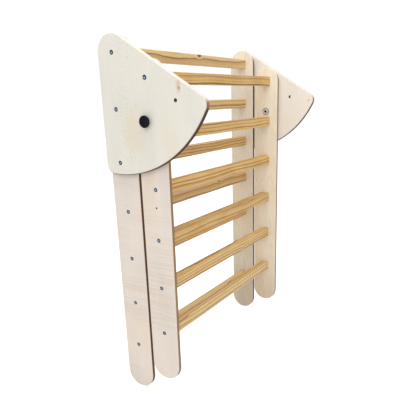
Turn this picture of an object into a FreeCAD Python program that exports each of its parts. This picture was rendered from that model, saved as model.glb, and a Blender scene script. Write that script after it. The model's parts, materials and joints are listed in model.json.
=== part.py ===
import FreeCAD, Part
import math
import os
import Sketcher
from FreeCAD import Vector

# Folding wooden climbing frame, folded flat. Two ladders hang side by side in the
# same plane: ladder A carries the hinge plates, ladder B swings about its top rung.
# +Z is up, Y runs along the rungs, and X points from ladder A to ladder B.
# The origin is on the floor, under the middle of the bounding box.
# "Right" pieces are on the -Y side; every "left" piece is a mirror image of one.

DOC = FreeCAD.newDocument("climbing_frame")

SIZES = {
    # Ladders
    "frame_width": 654,          # over the outer faces of ladder A's uprights
    "plank_width": 88,           # width of each upright, and of its full-round ends
    "plank_thickness": 12,
    "plank_gap": 6,              # between the uprights of ladder A and ladder B
    "plank_rounding": 2,         # edge rounding of the uprights
    "rung_count_a": 7,
    "rung_count_b": 6,
    "rung_pitch_a": 130,
    "pitch_extra_b": 3,          # rungs of B are this much further apart than those of A
    "rung_side": 30,
    "rung_rounding": 3,
    "top_drop_b": 58,            # first rung of B below first rung of A
    "foot_drop_a": 135,          # foot end below the last rung of A
    "foot_drop_b": 141,
    # Hinge plates
    "plate_thickness": 15,
    "plate_margin": 30,          # round lower edge below the last screw of the plate
    "plate_corner": 24,
    "plate_rounding": 3,
    "plate_rungs": 3,            # rungs of A whose screws also hold the plate
    "spread_angle": 59,          # swing of ladder B from folded to open
    # Wood screws
    "shank_diameter": 6,
    "head_diameter": 11,
    "head_recess": 0.3,          # heads sit this far below the wood
    "point_length": 6,
    "screw_bite": 45,            # length of screw inside a rung
    "bore_spare": 2,             # pilot bore runs on past the screw point
    "shank_play": 0.1,           # radial, in the holes of planks and plates
    "socket_size": 4,            # hexagon key
    "socket_depth": 2.4,
    # Pivot
    "pivot_play": 0.08,          # radial, pivot screw in the hinge plate
    "pivot_head_play": 0.4,      # countersink wider than the pivot screw's head
    "washer_thickness": 0.9,
    "washer_play": 0.1,
    "washer_diameter": 22,
    # Lock bolt and its nut
    "stud_diameter": 8,
    "lock_hole_play": 0.5,       # radial, stud in plate and plank
    "stud_engagement": 6,        # length inside the nut when screwed home
    "stud_seat": 4,              # length moulded into the cap
    "stud_chamfer": 1,
    "tip_setback": 0.5,          # tip of the loosened stud inside the plate
    "cap_diameter": 29,
    "cap_height": 6,
    "cap_bevel": 2.5,
    "nut_play": 0.08,            # radial, stud in the nut
    "nut_wall": 1.2,             # stud to the outside of the barrel
    "nut_skin": 1,               # wood left in front of the barrel
    "nut_rung_gap": 7,           # flange to the top of the second rung of B
    "nut_flange": 24,
    "nut_flange_thickness": 1.5,
    # Blind peg hole in the outer face of each upright B
    "peg_hole": 4.5,
    "peg_hole_depth": 8,
    "peg_hole_drop": 47,         # below the third rung of B
}

SHEET = DOC.addObject("Spreadsheet::Sheet", "Sizes")
for row, (alias, number) in enumerate(SIZES.items(), start=1):
    SHEET.set(f"A{row}", alias)
    SHEET.set(f"B{row}", str(number))
    SHEET.setAlias(f"B{row}", alias)
DOC.recompute()


def value(expression):
    """Number that an expression on the sheet gives now."""
    result = SHEET.evalExpression(expression)
    return float(getattr(result, "Value", result))


# Places worked out from the sheet, as expressions.
HALF_PLANK = "Sizes.plank_width / 2"
CORNER_INSET = "(Sizes.plank_width / 2 - Sizes.plate_corner)"
PLATE_RADIUS = "((Sizes.plate_rungs - 1) * Sizes.rung_pitch_a + Sizes.plate_margin)"
CORNER_REACH = f"sqrt(({PLATE_RADIUS} - Sizes.plate_corner)^2 - {CORNER_INSET}^2)"
PLATE_FRONT = (f"({CORNER_REACH} * sin(Sizes.spread_angle)"
               f" + {CORNER_INSET} * cos(Sizes.spread_angle) + Sizes.plate_corner)")
LINE_A = f"({HALF_PLANK} - ({HALF_PLANK} + {PLATE_FRONT}) / 2)"
LINE_B = f"({LINE_A} + Sizes.plank_width + Sizes.plank_gap)"
SPAN_A = "((Sizes.rung_count_a - 1) * Sizes.rung_pitch_a)"
PITCH_B = "(Sizes.rung_pitch_a + Sizes.pitch_extra_b)"
SPAN_B = f"((Sizes.rung_count_b - 1) * {PITCH_B})"
TOP_A = f"({SPAN_A} + Sizes.foot_drop_a)"
TOP_B = f"({TOP_A} - Sizes.top_drop_b)"
LOCK_DISTANCE = (f"({PITCH_B} - Sizes.rung_side / 2 - Sizes.nut_rung_gap"
                 " - Sizes.nut_flange / 2)")
LOCK_HEIGHT = f"({TOP_B} - {LOCK_DISTANCE})"
LOCK_HOLE = "(Sizes.stud_diameter + 2 * Sizes.lock_hole_play)"
NUT_BARREL = "(Sizes.stud_diameter + 2 * Sizes.nut_wall)"
NUT_DEPTH = "(Sizes.plank_thickness - Sizes.nut_skin)"
PLATE_GAP = "(Sizes.washer_thickness + Sizes.washer_play)"
OUTER_A = "(Sizes.frame_width / 2)"
OUTER_B = f"({OUTER_A} - {PLATE_GAP})"
PLATE_OUTER = f"({OUTER_A} + Sizes.plate_thickness)"
INNER_A = f"({OUTER_A} - Sizes.plank_thickness)"
INNER_B = f"({OUTER_B} - Sizes.plank_thickness)"
STUD_LENGTH = (f"(Sizes.plate_thickness + {PLATE_GAP} + Sizes.nut_skin"
               " + Sizes.stud_engagement)")
LOCK_BACKOFF = f"({STUD_LENGTH} - Sizes.plate_thickness + Sizes.tip_setback)"

SUBPARTS = []


def keep(piece, label):
    """Mark an object as a sub-part under the name of its file."""
    piece.Label = label
    SUBPARTS.append(piece)
    return piece


def new_body(label, x, y, z):
    """Body whose placement follows three expressions."""
    body = keep(DOC.addObject("PartDesign::Body", label), label)
    for axis, place in (("x", x), ("y", y), ("z", z)):
        body.setExpression(f"Placement.Base.{axis}", place)
    return body


def origin_feature(body, role):
    return next(item for item in body.Origin.OriginFeatures if item.Role == role)


def new_sketch(body, name, role, offset=None):
    """Sketch on one of the body's origin planes, moved along its normal by offset."""
    sketch = body.newObject("Sketcher::SketchObject", f"{body.Name}_{name}")
    sketch.AttachmentSupport = (origin_feature(body, role), [""])
    sketch.MapMode = "FlatFace"
    if offset:
        sketch.setExpression("AttachmentOffset.Base.z", offset)
    return sketch


def bind(sketch, name, constraint, expression):
    """Add a dimension to a sketch and tie it to the sheet."""
    index = sketch.addConstraint(constraint)
    sketch.renameConstraint(index, name)
    sketch.setExpression(f"Constraints.{name}", expression)


def place_point(sketch, geometry, end, name, x, y):
    """Hold a sketch point at two expressions; "0" puts it on the axis."""
    if x == "0":
        sketch.addConstraint(Sketcher.Constraint("PointOnObject", geometry, end, -2))
    else:
        held = Sketcher.Constraint("DistanceX", -1, 1, geometry, end, value(x))
        bind(sketch, name + "_x", held, x)
    if y == "0":
        sketch.addConstraint(Sketcher.Constraint("PointOnObject", geometry, end, -1))
    else:
        held = Sketcher.Constraint("DistanceY", -1, 1, geometry, end, value(y))
        bind(sketch, name + "_y", held, y)


def draw_polygon(sketch, corners):
    """Closed outline through corners given as pairs of expressions."""
    points = [Vector(value(x), value(y), 0) for x, y in corners]
    count = len(points)
    for i in range(count):
        sketch.addGeometry(Part.LineSegment(points[i], points[(i + 1) % count]), False)
    for i, (x, y) in enumerate(corners):
        before = (i - 1) % count
        sketch.addConstraint(Sketcher.Constraint("Coincident", before, 2, i, 1))
        place_point(sketch, i, 1, f"corner{i}", x, y)


def draw_circle(sketch, name, x, y, diameter):
    centre = Vector(value(x), value(y), 0)
    circle = Part.Circle(centre, Vector(0, 0, 1), value(diameter) / 2)
    index = sketch.addGeometry(circle, False)
    place_point(sketch, index, 3, name, x, y)
    size = Sketcher.Constraint("Diameter", index, value(diameter))
    bind(sketch, name + "_size", size, diameter)


def draw_column(sketch, numbers, pitch, diameter):
    """Circles on the sketch's vertical axis, one at each rung number counted from 0."""
    for number in numbers:
        height = "0" if number == 0 else f"-{number} * {pitch}"
        draw_circle(sketch, f"rung{number + 1}", "0", height, diameter)


def pad_across(body, sketch, thickness):
    """Pad a sketch drawn on XZ towards -Y."""
    pad = body.newObject("PartDesign::Pad", f"{body.Name}_board")
    pad.Profile = sketch
    pad.setExpression("Length", thickness)
    DOC.recompute()
    return pad


def round_edges(body, base, radius, chosen):
    """Fillet the edges that chosen(edge) accepts."""
    names = [f"Edge{i}" for i, edge in enumerate(base.Shape.Edges, start=1) if chosen(edge)]
    fillet = body.newObject("PartDesign::Fillet", f"{body.Name}_rounding")
    fillet.Base = (base, names)
    fillet.setExpression("Radius", radius)
    DOC.recompute()
    return fillet


def lies_across_y(edge):
    return edge.BoundBox.YLength < 1e-6


def runs_along_y(edge):
    return edge.BoundBox.XLength < 1e-6 and edge.BoundBox.ZLength < 1e-6


def drill(body, name, sketch, depth=None, reverse=False):
    """Cut a sketch's circles out of the body, right through unless a depth is given."""
    before = body.Shape.Volume
    pocket = body.newObject("PartDesign::Pocket", f"{body.Name}_{name}")
    pocket.Profile = sketch
    pocket.Reversed = reverse
    if depth:
        pocket.setExpression("Length", depth)
    else:
        pocket.Type = "ThroughAll"
    DOC.recompute()
    if body.Shape.Volume >= before:
        raise RuntimeError(f"{pocket.Name} cuts nothing")


def countersink(body, name, sketch, diameter, rim):
    """Countersunk through holes at the sketch's circles, entered from its own side."""
    before = body.Shape.Volume
    hole = body.newObject("PartDesign::Hole", f"{body.Name}_{name}")
    hole.Profile = sketch
    DOC.recompute()
    hole.ThreadType = "None"
    hole.DepthType = "ThroughAll"
    hole.HoleCutType = "Countersink"
    hole.HoleCutCustomValues = True
    hole.setExpression("Diameter", diameter)
    hole.setExpression("HoleCutDiameter", rim)
    hole.HoleCutCountersinkAngle = 90
    DOC.recompute()
    if body.Shape.Volume >= before:
        raise RuntimeError(f"{hole.Name} cuts nothing")


def mirror_to_left(right_piece, label):
    """Mirror image of a right-hand piece across the XZ plane."""
    piece = DOC.addObject("Part::Mirroring", label)
    piece.Source = right_piece
    piece.Normal = Vector(0, 1, 0)
    piece.Base = Vector(0, 0, 0)
    return keep(piece, label)


SHANK_HOLE = "(Sizes.shank_diameter + 2 * Sizes.shank_play)"
SCREW_RIM = "(Sizes.head_diameter + 2 * Sizes.head_recess)"


def draw_plank(sketch, foot_drop, span):
    """Long outline with full-round ends; the first rung's axis is the origin."""
    half = value(HALF_PLANK)
    low = f"({span} + {foot_drop} - {HALF_PLANK})"
    foot = -value(low)
    up = Vector(0, 0, 1)
    sketch.addGeometry(Part.ArcOfCircle(Part.Circle(Vector(0, 0, 0), up, half), 0, math.pi))
    sketch.addGeometry(Part.LineSegment(Vector(-half, 0, 0), Vector(-half, foot, 0)))
    lower = Part.Circle(Vector(0, foot, 0), up, half)
    sketch.addGeometry(Part.ArcOfCircle(lower, math.pi, 2 * math.pi))
    sketch.addGeometry(Part.LineSegment(Vector(half, foot, 0), Vector(half, 0, 0)))
    sketch.addConstraint(Sketcher.Constraint("Coincident", 0, 3, -1, 1))
    for first, second in ((0, 1), (1, 2), (2, 3), (3, 0)):
        sketch.addConstraint(Sketcher.Constraint("Tangent", first, 2, second, 1))
    sketch.addConstraint(Sketcher.Constraint("Vertical", 1))
    bind(sketch, "end_radius", Sketcher.Constraint("Radius", 0, half), HALF_PLANK)
    drop = Sketcher.Constraint("DistanceY", 2, 3, 0, 3, -foot)
    bind(sketch, "length", drop, low)


def make_upright(label, x, y, z, foot_drop, span):
    body = new_body(label, x, y, z)
    outline = new_sketch(body, "outline", "XZ_Plane")
    draw_plank(outline, foot_drop, span)
    board = pad_across(body, outline, "Sizes.plank_thickness")
    round_edges(body, board, "Sizes.plank_rounding", lies_across_y)
    return body


def drill_rung_holes(body, plain, sunk, pitch):
    """Plain holes under the hinge plate and countersunk ones below it."""
    through = new_sketch(body, "plain_holes", "XZ_Plane", "Sizes.plank_thickness")
    draw_column(through, plain, pitch, SHANK_HOLE)
    drill(body, "plain_drilling", through)
    seats = new_sketch(body, "screw_seats", "XZ_Plane", "Sizes.plank_thickness")
    draw_column(seats, sunk, pitch, SHANK_HOLE)
    countersink(body, "sunk_drilling", seats, SHANK_HOLE, SCREW_RIM)


def make_upright_a():
    count = SIZES["rung_count_a"]
    hidden = SIZES["plate_rungs"]
    body = make_upright("upright_a_right", LINE_A, f"-{INNER_A}", TOP_A,
                        "Sizes.foot_drop_a", SPAN_A)
    drill_rung_holes(body, range(hidden), range(hidden, count), "Sizes.rung_pitch_a")
    mirror_to_left(body, "upright_a_left")


def make_upright_b():
    body = make_upright("upright_b_right", LINE_B, f"-{INNER_B}", TOP_B,
                        "Sizes.foot_drop_b", SPAN_B)
    drill_rung_holes(body, [0], range(1, SIZES["rung_count_b"]), PITCH_B)
    lock = new_sketch(body, "lock_hole", "XZ_Plane", "Sizes.plank_thickness")
    draw_circle(lock, "lock", "0", f"-{LOCK_DISTANCE}", LOCK_HOLE)
    drill(body, "lock_drilling", lock)
    barrel = new_sketch(body, "nut_bore", "XZ_Plane")
    draw_circle(barrel, "nut", "0", f"-{LOCK_DISTANCE}", NUT_BARREL)
    drill(body, "nut_drilling", barrel, NUT_DEPTH, reverse=True)
    peg = new_sketch(body, "peg_hole", "XZ_Plane", "Sizes.plank_thickness")
    draw_circle(peg, "peg", "0", f"-(2 * {PITCH_B} + Sizes.peg_hole_drop)", "Sizes.peg_hole")
    drill(body, "peg_drilling", peg, "Sizes.peg_hole_depth")
    mirror_to_left(body, "upright_b_left")


def draw_plate(sketch):
    """Sector about the first rung of A, as wide as the planks that it joins.

    One straight edge is flush with ladder A, the other with ladder B once it is open.
    """
    half = value(HALF_PLANK)
    corner = value("Sizes.plate_corner")
    inset = value(CORNER_INSET)
    reach = value(CORNER_REACH)
    spread = math.radians(value("Sizes.spread_angle"))
    along = Vector(math.sin(spread), -math.cos(spread), 0)
    outward = Vector(math.cos(spread), math.sin(spread), 0)
    front = along * reach + outward * inset
    low = Vector(-inset, -reach, 0)
    up = Vector(0, 0, 1)
    tip = math.atan2(front.y, front.x) + 2 * math.pi
    heel = math.atan2(low.y, low.x) + 2 * math.pi

    def arc(centre, radius, start, stop):
        sketch.addGeometry(Part.ArcOfCircle(Part.Circle(centre, up, radius), start, stop))

    arc(Vector(0, 0, 0), half, spread, math.pi)
    sketch.addGeometry(Part.LineSegment(Vector(-half, 0, 0), Vector(-half, low.y, 0)))
    arc(low, corner, math.pi, heel)
    arc(Vector(0, 0, 0), value(PLATE_RADIUS), heel, tip)
    arc(front, corner, tip, spread + 2 * math.pi)
    sketch.addGeometry(Part.LineSegment(front + outward * corner, outward * half))
    for index in (0, 3):
        sketch.addConstraint(Sketcher.Constraint("Coincident", index, 3, -1, 1))
    for first in range(6):
        joined = (first + 1) % 6
        sketch.addConstraint(Sketcher.Constraint("Tangent", first, 2, joined, 1))
    sketch.addConstraint(Sketcher.Constraint("Vertical", 1))
    slope = Sketcher.Constraint("Angle", 5, spread + math.pi / 2)
    bind(sketch, "slope", slope, "(90 + Sizes.spread_angle) * 1 deg")
    for index, name, size in ((0, "top_round", HALF_PLANK), (2, "heel_round", "Sizes.plate_corner"),
                              (3, "lower_edge", PLATE_RADIUS),
                              (4, "tip_round", "Sizes.plate_corner")):
        bind(sketch, name, Sketcher.Constraint("Radius", index, value(size)), size)


def make_hinge_plate():
    body = new_body("hinge_plate_right", LINE_A, f"-{OUTER_A}", TOP_A)
    outline = new_sketch(body, "outline", "XZ_Plane")
    draw_plate(outline)
    board = pad_across(body, outline, "Sizes.plate_thickness")
    round_edges(body, board, "Sizes.plate_rounding", lies_across_y)
    seats = new_sketch(body, "screw_seats", "XZ_Plane", "Sizes.plate_thickness")
    draw_column(seats, range(SIZES["plate_rungs"]), "Sizes.rung_pitch_a", SHANK_HOLE)
    countersink(body, "screw_drilling", seats, SHANK_HOLE, SCREW_RIM)

    pivot_x = "(Sizes.plank_width + Sizes.plank_gap)"
    pivot_z = "-Sizes.top_drop_b"
    pivot_hole = "(Sizes.shank_diameter + 2 * Sizes.pivot_play)"
    pivot = new_sketch(body, "pivot_seat", "XZ_Plane", "Sizes.plate_thickness")
    draw_circle(pivot, "pivot", pivot_x, pivot_z, pivot_hole)
    countersink(body, "pivot_drilling", pivot, pivot_hole,
                f"({SCREW_RIM} + 2 * Sizes.pivot_head_play)")

    locks = new_sketch(body, "lock_holes", "XZ_Plane", "Sizes.plate_thickness")
    draw_circle(locks, "folded", pivot_x, f"{pivot_z} - {LOCK_DISTANCE}", LOCK_HOLE)
    draw_circle(locks, "open", f"{pivot_x} + {LOCK_DISTANCE} * sin(Sizes.spread_angle)",
                f"{pivot_z} - {LOCK_DISTANCE} * cos(Sizes.spread_angle)", LOCK_HOLE)
    drill(body, "lock_drilling", locks)
    mirror_to_left(body, "hinge_plate_left")


def make_rung(label, x, z, length):
    """Square bar along Y with rounded edges and a pilot bore in each end."""
    body = new_body(label, x, "0", z)
    half = "Sizes.rung_side / 2"
    section = new_sketch(body, "section", "XZ_Plane")
    draw_polygon(section, [(f"-{half}", f"-{half}"), (half, f"-{half}"), (half, half),
                           (f"-{half}", half)])
    bar = body.newObject("PartDesign::Pad", f"{label}_bar")
    bar.Profile = section
    bar.SideType = "Symmetric"
    bar.setExpression("Length", length)
    DOC.recompute()
    round_edges(body, bar, "Sizes.rung_rounding", runs_along_y)
    for name, sign, inwards in (("right_bore", "", False), ("left_bore", "-", True)):
        end = new_sketch(body, name, "XZ_Plane", f"{sign}{length} / 2")
        draw_circle(end, "bore", "0", "0", "Sizes.shank_diameter")
        drill(body, f"{name}_drilling", end, "(Sizes.screw_bite + Sizes.bore_spare)", inwards)


def make_rungs():
    for number in range(SIZES["rung_count_a"]):
        make_rung(f"rung_a_{number + 1}", LINE_A, f"{TOP_A} - {number} * Sizes.rung_pitch_a",
                  f"(2 * {INNER_A})")
    for number in range(SIZES["rung_count_b"]):
        make_rung(f"rung_b_{number + 1}", LINE_B, f"{TOP_B} - {number} * {PITCH_B}",
                  f"(2 * {INNER_B})")


def turn(body, corners):
    """Revolve an outline of (radius, Y) corners about the body's Y axis."""
    profile = new_sketch(body, "profile", "XY_Plane")
    draw_polygon(profile, corners)
    turning = body.newObject("PartDesign::Revolution", f"{body.Name}_turning")
    turning.Profile = profile
    turning.ReferenceAxis = (profile, ["V_Axis"])
    turning.Angle = 360
    DOC.recompute()
    return turning


def make_screw(label, x, face, z, through, count="1", pitch=None):
    """Countersunk wood screw entering at the outer face, repeated downwards at a pitch.

    The body's origin is on the screw's axis at the centre of its flat head.
    """
    body = new_body(label, x, f"-({face} - Sizes.head_recess)", z)
    head = "Sizes.head_diameter / 2"
    shank = "Sizes.shank_diameter / 2"
    length = f"({through} + Sizes.screw_bite - Sizes.head_recess)"
    turning = turn(body, [("0", "0"), (head, "0"), (shank, f"{head} - {shank}"),
                          (shank, f"{length} - Sizes.point_length"), ("0", length)])
    socket = new_sketch(body, "socket", "XZ_Plane")
    corner = "Sizes.socket_size / 2 / cos(30)"
    draw_polygon(socket, [(f"{corner} * cos({60 * i + 30})", f"{corner} * sin({60 * i + 30})")
                          if i not in (1, 4) else ("0", f"{corner} * {1 if i == 1 else -1}")
                          for i in range(6)])
    drill(body, "socket_cut", socket, "Sizes.socket_depth")
    if pitch:
        row = body.newObject("PartDesign::LinearPattern", f"{label}_row")
        row.Originals = [turning, body.Tip]
        row.Direction = (origin_feature(body, "Z_Axis"), [""])
        row.Reversed = True
        row.Mode = "Spacing"
        row.setExpression("Offset", pitch)
        row.setExpression("Occurrences", count)
        body.Tip = row
        DOC.recompute()
    return body


def make_screws():
    through_plate = f"({PLATE_OUTER} - {INNER_A})"
    plate_row = make_screw("plate_screws_right", LINE_A, PLATE_OUTER, TOP_A, through_plate,
                           "Sizes.plate_rungs", "Sizes.rung_pitch_a")
    mirror_to_left(plate_row, "plate_screws_left")
    row_a = make_screw("rung_screws_a_right", LINE_A, OUTER_A,
                       f"{TOP_A} - Sizes.plate_rungs * Sizes.rung_pitch_a",
                       "Sizes.plank_thickness", "Sizes.rung_count_a - Sizes.plate_rungs",
                       "Sizes.rung_pitch_a")
    mirror_to_left(row_a, "rung_screws_a_left")
    row_b = make_screw("rung_screws_b_right", LINE_B, OUTER_B, f"{TOP_B} - {PITCH_B}",
                       "Sizes.plank_thickness", "Sizes.rung_count_b - 1", PITCH_B)
    mirror_to_left(row_b, "rung_screws_b_left")
    pivot = make_screw("pivot_screw_right", LINE_B, PLATE_OUTER, TOP_B,
                       f"({PLATE_OUTER} - {INNER_B})")
    mirror_to_left(pivot, "pivot_screw_left")


def make_pivot_washer():
    """Ring on the pivot screw, between upright B and the hinge plate."""
    body = new_body("pivot_washer_right", LINE_B, f"-{OUTER_B}", TOP_B)
    bore = "Sizes.shank_diameter / 2 + Sizes.shank_play"
    rim = "Sizes.washer_diameter / 2"
    outer = "-Sizes.washer_thickness"
    turn(body, [(bore, "0"), (rim, "0"), (rim, outer), (bore, outer)])
    mirror_to_left(body, "pivot_washer_left")


def make_tee_nut():
    """Flanged nut pressed into upright B from its inner face."""
    body = new_body("tee_nut_right", LINE_B, f"-{INNER_B}", LOCK_HEIGHT)
    bore = "Sizes.stud_diameter / 2 + Sizes.nut_play"
    barrel = f"{NUT_BARREL} / 2"
    flange = "Sizes.nut_flange / 2"
    bevel = "Sizes.nut_flange_thickness / 3"
    turn(body, [(bore, f"-{NUT_DEPTH}"), (barrel, f"-{NUT_DEPTH}"),
                (barrel, "0"), (flange, "0"),
                (flange, f"Sizes.nut_flange_thickness - {bevel}"),
                (f"{flange} - {bevel}", "Sizes.nut_flange_thickness"),
                (bore, "Sizes.nut_flange_thickness")])
    mirror_to_left(body, "tee_nut_left")


def make_lock_bolt():
    """Finger cap moulded on a stud, loosened until the stud leaves upright B."""
    seat = f"-({PLATE_OUTER} + {LOCK_BACKOFF})"
    cap = new_body("lock_cap_right", LINE_B, seat, LOCK_HEIGHT)
    rim = "Sizes.cap_diameter / 2"
    stud = "Sizes.stud_diameter / 2"
    turn(cap, [("0", "-Sizes.cap_height"), ("0", "-Sizes.stud_seat"), (stud, "-Sizes.stud_seat"),
               (stud, "0"), (rim, "0"), (rim, "Sizes.cap_bevel - Sizes.cap_height"),
               (f"{rim} - Sizes.cap_bevel", "-Sizes.cap_height")])
    mirror_to_left(cap, "lock_cap_left")

    rod = new_body("lock_stud_right", LINE_B, seat, LOCK_HEIGHT)
    turn(rod, [("0", "-Sizes.stud_seat"), (stud, "-Sizes.stud_seat"),
               (stud, f"{STUD_LENGTH} - Sizes.stud_chamfer"),
               (f"{stud} - Sizes.stud_chamfer", STUD_LENGTH), ("0", STUD_LENGTH)])
    mirror_to_left(rod, "lock_stud_left")


def check_document():
    """Stop before writing anything if an object failed or a shape is unsound."""
    for item in DOC.Objects:
        if {"Invalid", "Error"} & set(item.State):
            raise RuntimeError(f"{item.Name} is {item.State}")
    for piece in SUBPARTS:
        if piece.Shape.isNull() or not piece.Shape.isValid():
            raise RuntimeError(f"{piece.Label} has no valid shape")


def export_parts():
    os.makedirs("parts", exist_ok=True)
    for piece in SUBPARTS:
        piece.Shape.exportStep(f"parts/{piece.Label}.step")


make_upright_a()
make_upright_b()
make_hinge_plate()
make_rungs()
make_screws()
make_pivot_washer()
make_tee_nut()
make_lock_bolt()
DOC.recompute()
check_document()
export_parts()
print(len(SUBPARTS), "sub-parts,", sum(len(piece.Shape.Solids) for piece in SUBPARTS), "solids")
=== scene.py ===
"""Looks of the folding wooden climbing frame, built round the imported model.

Lengths are in metres. +Z is up and Y runs along the rungs. The right side of the frame is -Y, the
left side is +Y, and +X points from ladder A to ladder B.
"""

import json
import math

import bpy
from mathutils import Euler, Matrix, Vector


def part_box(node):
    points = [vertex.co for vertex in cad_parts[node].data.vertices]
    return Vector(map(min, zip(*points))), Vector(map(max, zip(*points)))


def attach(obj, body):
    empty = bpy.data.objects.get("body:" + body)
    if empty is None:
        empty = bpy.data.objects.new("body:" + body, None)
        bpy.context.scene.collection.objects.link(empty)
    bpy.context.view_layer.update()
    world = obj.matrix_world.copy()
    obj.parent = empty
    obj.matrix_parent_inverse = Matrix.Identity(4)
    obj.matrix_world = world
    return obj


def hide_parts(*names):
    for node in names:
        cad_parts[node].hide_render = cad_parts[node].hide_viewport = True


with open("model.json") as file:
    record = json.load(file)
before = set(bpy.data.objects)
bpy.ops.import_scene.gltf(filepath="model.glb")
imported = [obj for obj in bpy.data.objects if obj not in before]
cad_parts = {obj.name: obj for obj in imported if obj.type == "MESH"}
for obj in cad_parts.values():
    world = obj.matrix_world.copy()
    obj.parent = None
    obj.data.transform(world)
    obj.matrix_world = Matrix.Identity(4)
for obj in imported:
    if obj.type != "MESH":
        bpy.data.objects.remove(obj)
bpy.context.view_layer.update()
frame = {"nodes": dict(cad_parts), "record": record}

MM = 0.001


# ---------------------------------------------------------------- node trees

class Bench:
    """A node tree, with short calls for the nodes that the finishes and the makers share."""

    def __init__(self, tree):
        self.tree = tree

    def feed(self, socket, value):
        if isinstance(value, bpy.types.NodeSocket):
            self.tree.links.new(value, socket)
        else:
            socket.default_value = value

    def add(self, kind, feeds=None, out=0, **settings):
        node = self.tree.nodes.new(kind)
        for name, value in settings.items():
            setattr(node, name, value)
        for key, value in (feeds or {}).items():
            self.feed(node.inputs[key], value)
        return node.outputs[out]

    def math(self, operation, a, b=0.0, c=0.0, clamp=False):
        return self.add("ShaderNodeMath", {0: a, 1: b, 2: c}, operation=operation, use_clamp=clamp)

    def vector(self, operation, a, b=(0.0, 0.0, 0.0)):
        out = 1 if operation in ("LENGTH", "DISTANCE", "DOT_PRODUCT") else 0
        return self.add("ShaderNodeVectorMath", {0: a, 1: b}, out=out, operation=operation)

    def times(self, vector, factor):
        return self.add("ShaderNodeVectorMath", {0: vector, "Scale": factor}, operation="SCALE")

    def parts(self, vector):
        node = self.tree.nodes.new("ShaderNodeSeparateXYZ")
        self.feed(node.inputs[0], vector)
        return node.outputs[0], node.outputs[1], node.outputs[2]

    def joined(self, x, y, z):
        return self.add("ShaderNodeCombineXYZ", {0: x, 1: y, 2: z})

    def step(self, value, low, high, start=0.0, end=1.0):
        """Rises smoothly from start to end while value goes from low to high."""
        return self.add("ShaderNodeMapRange", {0: value, 1: low, 2: high, 3: start, 4: end},
                        interpolation_type="SMOOTHSTEP")

    def scaled(self, value, low, high, start, end):
        """Runs straight from start to end while value goes from low to high."""
        return self.add("ShaderNodeMapRange", {0: value, 1: low, 2: high, 3: start, 4: end})

    def noise(self, place, scale=1.0, detail=2.0, rough=0.5, bend=0.0):
        feeds = {"Vector": place, "Scale": scale, "Detail": detail, "Roughness": rough, "Distortion": bend}
        return self.add("ShaderNodeTexNoise", feeds)

    def mix(self, share, a, b):
        return self.add("ShaderNodeMix", {0: share, 6: a, 7: b}, out=2, data_type="RGBA")

    def shade(self, amount, colour, by):
        """Colour multiplied by another, by the given amount."""
        return self.add("ShaderNodeMix", {0: amount, 6: colour, 7: by}, out=2, data_type="RGBA",
                        blend_type="MULTIPLY")

    def ramp(self, share, stops):
        node = self.tree.nodes.new("ShaderNodeValToRGB")
        elements = node.color_ramp.elements
        while len(elements) < len(stops):
            elements.new(0.5)
        for element, (position, colour) in zip(elements, stops):
            element.position = position
            element.color = colour
        self.feed(node.inputs[0], share)
        return node.outputs[0]


def paint(code):
    """Linear colour of a hexadecimal paint code such as D8B070."""
    channels = [int(code[i:i + 2], 16) / 255 for i in (0, 2, 4)]
    linear = [c / 12.92 if c <= 0.04045 else ((c + 0.055) / 1.055) ** 2.4 for c in channels]
    return (*linear, 1.0)


class Finish(Bench):
    """A surface finish: its material, its node tree and its shader."""

    def __init__(self, name, **constants):
        self.material = bpy.data.materials.new(name)
        self.material.use_nodes = True
        super().__init__(self.material.node_tree)
        self.shader = self.tree.nodes["Principled BSDF"]
        for socket, value in constants.items():
            self.shader.inputs[socket.replace("_", " ")].default_value = value

    def place(self):
        return self.add("ShaderNodeTexCoord", out=3)

    def facing(self):
        return self.add("ShaderNodeTexCoord", out=1)

    def attribute(self, name, out=1):
        return self.add("ShaderNodeAttribute", out=out, attribute_name=name)

    def surface(self, colour, rough, height=None, depth=0.0002):
        self.feed(self.shader.inputs["Base Color"], colour)
        self.feed(self.shader.inputs["Roughness"], rough)
        if height is not None:
            bump = self.add("ShaderNodeBump", {"Strength": 0.6, "Distance": depth, "Height": height})
            self.feed(self.shader.inputs["Normal"], bump)
        return self.material


# ---------------------------------------------------------------- finishes

PLANK_PLIES = 9


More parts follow.
